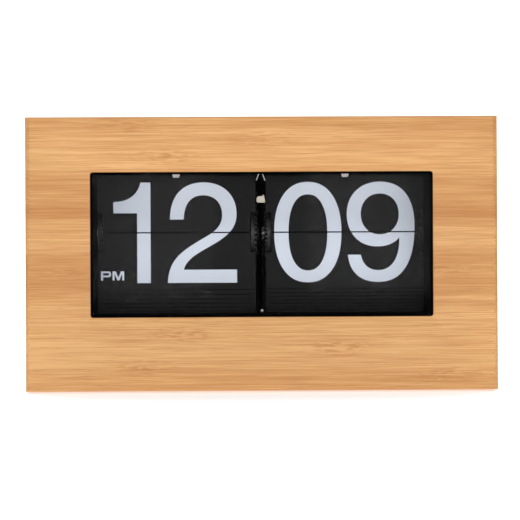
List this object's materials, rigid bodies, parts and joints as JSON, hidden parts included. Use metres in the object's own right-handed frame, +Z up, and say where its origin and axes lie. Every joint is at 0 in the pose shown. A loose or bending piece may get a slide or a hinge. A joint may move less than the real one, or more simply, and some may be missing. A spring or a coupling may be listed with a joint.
{
  "type": "flip number clock",
  "caption": "Free-standing flip number clock: a bamboo case with a rectangular window onto split-leaf hour and minute modules, driven by a small motor and battery cells.",
  "frame": {"origin": "under the middle of the case, on the surface that the feet stand on", "axes": "+X to the right as the dial is read, +Y to the back of the case, +Z up; the dial faces -Y"},
  "size_m": [0.21, 0.085, 0.1228],
  "materials": {
    "bamboo": "laminated bamboo, satin clear coat",
    "batten": "plain sawn softwood",
    "case_black": "moulded black ABS, fine grain",
    "chassis_black": "moulded black, matt",
    "drum_black": "moulded black, satin",
    "leaf_black": "satin black sheet, screen-printed in pale white",
    "lens": "clear acrylic, polished",
    "steel": "drawn bright",
    "contact_steel": "nickel-plated spring steel",
    "motor_steel": "zinc-plated can",
    "brass": "cut brass",
    "gear_white": "natural acetal",
    "gear_black": "black acetal",
    "catch_white": "pale moulded plastic",
    "pawl_cream": "cream moulded plastic",
    "knob_black": "moulded black, knurled",
    "foot_rubber": "matt black rubber",
    "cell": "printed shrink sleeve, plain",
    "board": "green solder mask",
    "wire_red": "PVC insulation",
    "wire_black": "PVC insulation"
  },
  "bodies": {
    "case": {"front_panel": "bamboo", "top_panel": "bamboo", "bottom_panel": "bamboo", "left_panel": "bamboo", "right_panel": "bamboo", "left_cleat": "batten", "right_cleat": "batten", "window_liner": "case_black", "rear_cover": "case_black", "battery_tray": "case_black", "left_side_plate": "chassis_black", "right_side_plate": "chassis_black", "centre_plate": "chassis_black", "top_tie_bar": "chassis_black", "lower_rail": "chassis_black", "hour_leaf_lower": "leaf_black", "hour_leaves_standing": "leaf_black", "hour_leaves_hanging": "leaf_black", "minute_leaf_lower": "leaf_black", "minute_leaves_standing": "leaf_black", "minute_leaves_hanging": "leaf_black", "window_lens": "lens", "setting_axle": "steel", "screw_lower_left": "steel", "screw_lower_right": "steel", "screw_upper_left": "steel", "screw_upper_right": "steel", "leaf_guide_wire": "steel", "battery_spring": "contact_steel", "battery_plate": "contact_steel", "motor_case": "motor_steel", "hour_catch": "catch_white", "minute_catch": "catch_white", "foot_front_left": "foot_rubber", "foot_front_right": "foot_rubber", "foot_back_left": "foot_rubber", "foot_back_right": "foot_rubber", "driver_board": "board", "wire_red": "wire_red", "wire_black": "wire_black"},
    "minute_drum": {"minute_shaft": "steel", "minute_hub": "drum_black", "minute_left_flange": "drum_black", "minute_right_flange": "drum_black", "minute_pinion": "steel", "minute_drive_gear": "gear_white"},
    "hour_drum": {"hour_shaft": "steel", "hour_hub": "drum_black", "hour_left_flange": "drum_black", "hour_right_flange": "drum_black", "hour_gear": "gear_black"},
    "transfer": {"transfer_gear": "gear_black"},
    "motor_rotor": {"motor_pinion": "brass"},
    "setting": {"setting_wheel": "knob_black"},
    "minute_leaf": {"minute_leaf_front": "leaf_black"},
    "hour_leaf": {"hour_leaf_front": "leaf_black"},
    "pawl": {"reverse_pawl": "pawl_cream"},
    "door": {"battery_door": "case_black"},
    "batteries": {"battery_cell_left": "cell", "battery_cell_right": "cell"}
  },
  "joints": [
    {"name": "minute_drum_spin", "type": "hinge", "parent": "case", "child": "minute_drum", "pos_m": [0, 0.0038, 0.0716], "axis": [1, 0, 0], "continuous": true},
    {"name": "hour_drum_spin", "type": "hinge", "parent": "case", "child": "hour_drum", "pos_m": [0, 0.0038, 0.0716], "axis": [1, 0, 0], "continuous": true},
    {"name": "transfer_spin", "type": "hinge", "parent": "case", "child": "transfer", "pos_m": [0, 0.01229, 0.06311], "axis": [1, 0, 0], "continuous": true},
    {"name": "motor_spin", "type": "hinge", "parent": "case", "child": "motor_rotor", "pos_m": [0, -0.00359, 0.0513], "axis": [1, 0, 0], "continuous": true},
    {"name": "setting_wheel_spin", "type": "hinge", "parent": "case", "child": "setting", "pos_m": [0, 0.02748, 0.06298], "axis": [1, 0, 0], "continuous": true},
    {"name": "minute_leaf_fall", "type": "hinge", "parent": "case", "child": "minute_leaf", "pos_m": [0, -0.01298, 0.07248], "axis": [1, 0, 0], "range_deg": [0, 173], "deforming": ["minute_catch"]},
    {"name": "hour_leaf_fall", "type": "hinge", "parent": "case", "child": "hour_leaf", "pos_m": [0, -0.01296, 0.0727], "axis": [1, 0, 0], "range_deg": [0, 173], "deforming": ["hour_catch"]},
    {"name": "reverse_pawl_lift", "type": "hinge", "parent": "case", "child": "pawl", "pos_m": [0, 0, 0.093], "axis": [1, 0, 0], "range_deg": [-6, 0]},
    {"name": "battery_door_pull", "type": "slide", "parent": "case", "child": "door", "axis": [0, 1, 0], "range_m": [0, 0.08]},
    {"name": "battery_lift_out", "type": "slide", "parent": "case", "child": "batteries", "axis": [0, 1, 0], "range_m": [0, 0.04]}
  ],
  "couplings": [
    {"joint": "hour_drum_spin", "follows": "minute_drum_spin", "ratio": 0.041667},
    {"joint": "transfer_spin", "follows": "minute_drum_spin", "ratio": -0.25},
    {"joint": "motor_spin", "follows": "minute_drum_spin", "ratio": -5},
    {"joint": "setting_wheel_spin", "follows": "minute_drum_spin", "ratio": -2.5},
    {"joint": "battery_lift_out", "follows": "battery_door_pull", "ratio": 0.5}
  ]
}
